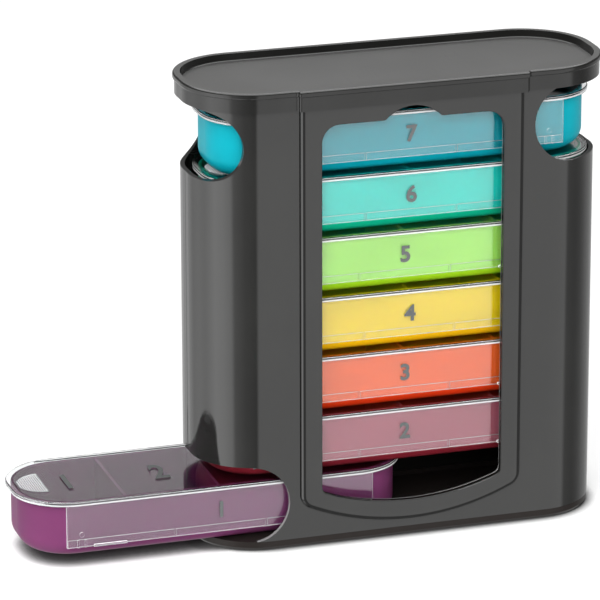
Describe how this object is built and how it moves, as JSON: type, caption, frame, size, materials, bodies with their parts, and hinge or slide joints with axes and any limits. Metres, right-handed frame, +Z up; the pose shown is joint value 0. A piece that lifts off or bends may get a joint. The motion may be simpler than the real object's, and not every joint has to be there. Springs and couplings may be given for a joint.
{
  "type": "weekly pill drawer organizer",
  "caption": "Oval tower with a viewing window and a stack of coloured sliding drawers, each divided and under a clear sliding lid, taken from the bottom opening.",
  "frame": {"origin": "centre of the face the tower stands on, on the table", "axes": "+X along the drawers, away from the side where the lowest drawer is out; -Y towards the window; +Z up"},
  "size_m": [0.2397, 0.0652, 0.1855],
  "materials": {
    "front_shell": "gloss black moulded plastic",
    "rear_shell": "gloss black moulded plastic",
    "window_bezel": "gloss black moulded plastic",
    "tray_cap": "gloss black moulded plastic",
    "base_plate": "satin black moulded plastic",
    "saturday_drawer": "coloured moulded plastic, semi-gloss",
    "saturday_lid": "clear moulded plastic, polished",
    "friday_drawer": "coloured moulded plastic, semi-gloss",
    "friday_lid": "clear moulded plastic, polished",
    "thursday_drawer": "coloured moulded plastic, semi-gloss",
    "thursday_lid": "clear moulded plastic, polished",
    "wednesday_drawer": "coloured moulded plastic, semi-gloss",
    "wednesday_lid": "clear moulded plastic, polished",
    "tuesday_drawer": "coloured moulded plastic, semi-gloss",
    "tuesday_lid": "clear moulded plastic, polished",
    "monday_drawer": "coloured moulded plastic, semi-gloss",
    "monday_lid": "clear moulded plastic, polished",
    "sunday_drawer": "coloured moulded plastic, semi-gloss",
    "sunday_lid": "clear moulded plastic, polished"
  },
  "bodies": {
    "tower": {"front_shell": "front_shell", "rear_shell": "rear_shell", "window_bezel": "window_bezel", "tray_cap": "tray_cap", "base_plate": "base_plate"},
    "saturday_drawer": {"saturday_drawer": "saturday_drawer"},
    "saturday_lid": {"saturday_lid": "saturday_lid"},
    "friday_drawer": {"friday_drawer": "friday_drawer"},
    "friday_lid": {"friday_lid": "friday_lid"},
    "thursday_drawer": {"thursday_drawer": "thursday_drawer"},
    "thursday_lid": {"thursday_lid": "thursday_lid"},
    "wednesday_drawer": {"wednesday_drawer": "wednesday_drawer"},
    "wednesday_lid": {"wednesday_lid": "wednesday_lid"},
    "tuesday_drawer": {"tuesday_drawer": "tuesday_drawer"},
    "tuesday_lid": {"tuesday_lid": "tuesday_lid"},
    "monday_drawer": {"monday_drawer": "monday_drawer"},
    "monday_lid": {"monday_lid": "monday_lid"},
    "sunday_drawer": {"sunday_drawer": "sunday_drawer"},
    "sunday_lid": {"sunday_lid": "sunday_lid"}
  },
  "joints": [
    {"name": "saturday_slide", "type": "slide", "parent": "tower", "child": "saturday_drawer", "axis": [-1, 0, 0], "range_m": [-0.0774, 0.0888]},
    {"name": "saturday_lid_slide", "type": "slide", "parent": "saturday_drawer", "child": "saturday_lid", "axis": [1, 0, 0], "range_m": [0, 0.074]},
    {"name": "friday_slide", "type": "slide", "parent": "tower", "child": "friday_drawer", "axis": [1, 0, 0], "range_m": [-0.0002, 0.0024]},
    {"name": "friday_lid_slide", "type": "slide", "parent": "friday_drawer", "child": "friday_lid", "axis": [1, 0, 0], "range_m": [-0.0004, 0.0004]},
    {"name": "thursday_slide", "type": "slide", "parent": "tower", "child": "thursday_drawer", "axis": [1, 0, 0], "range_m": [-0.0002, 0.0024]},
    {"name": "thursday_lid_slide", "type": "slide", "parent": "thursday_drawer", "child": "thursday_lid", "axis": [1, 0, 0], "range_m": [-0.0004, 0.0004]},
    {"name": "wednesday_slide", "type": "slide", "parent": "tower", "child": "wednesday_drawer", "axis": [1, 0, 0], "range_m": [-0.0021, 0.0005]},
    {"name": "wednesday_lid_slide", "type": "slide", "parent": "wednesday_drawer", "child": "wednesday_lid", "axis": [1, 0, 0], "range_m": [-0.0004, 0.0004]},
    {"name": "tuesday_slide", "type": "slide", "parent": "tower", "child": "tuesday_drawer", "axis": [1, 0, 0], "range_m": [-0.0001, 0.0025]},
    {"name": "tuesday_lid_slide", "type": "slide", "parent": "tuesday_drawer", "child": "tuesday_lid", "axis": [1, 0, 0], "range_m": [-0.0004, 0.0004]},
    {"name": "monday_slide", "type": "slide", "parent": "tower", "child": "monday_drawer", "axis": [1, 0, 0], "range_m": [-0.0025, 0.0001]},
    {"name": "monday_lid_slide", "type": "slide", "parent": "monday_drawer", "child": "monday_lid", "axis": [1, 0, 0], "range_m": [-0.0004, 0.0004]},
    {"name": "sunday_slide", "type": "slide", "parent": "tower", "child": "sunday_drawer", "axis": [1, 0, 0], "range_m": [-0.0025, 0.162]},
    {"name": "sunday_lid_slide", "type": "slide", "parent": "sunday_drawer", "child": "sunday_lid", "axis": [1, 0, 0], "range_m": [0, 0.074]}
  ]
}
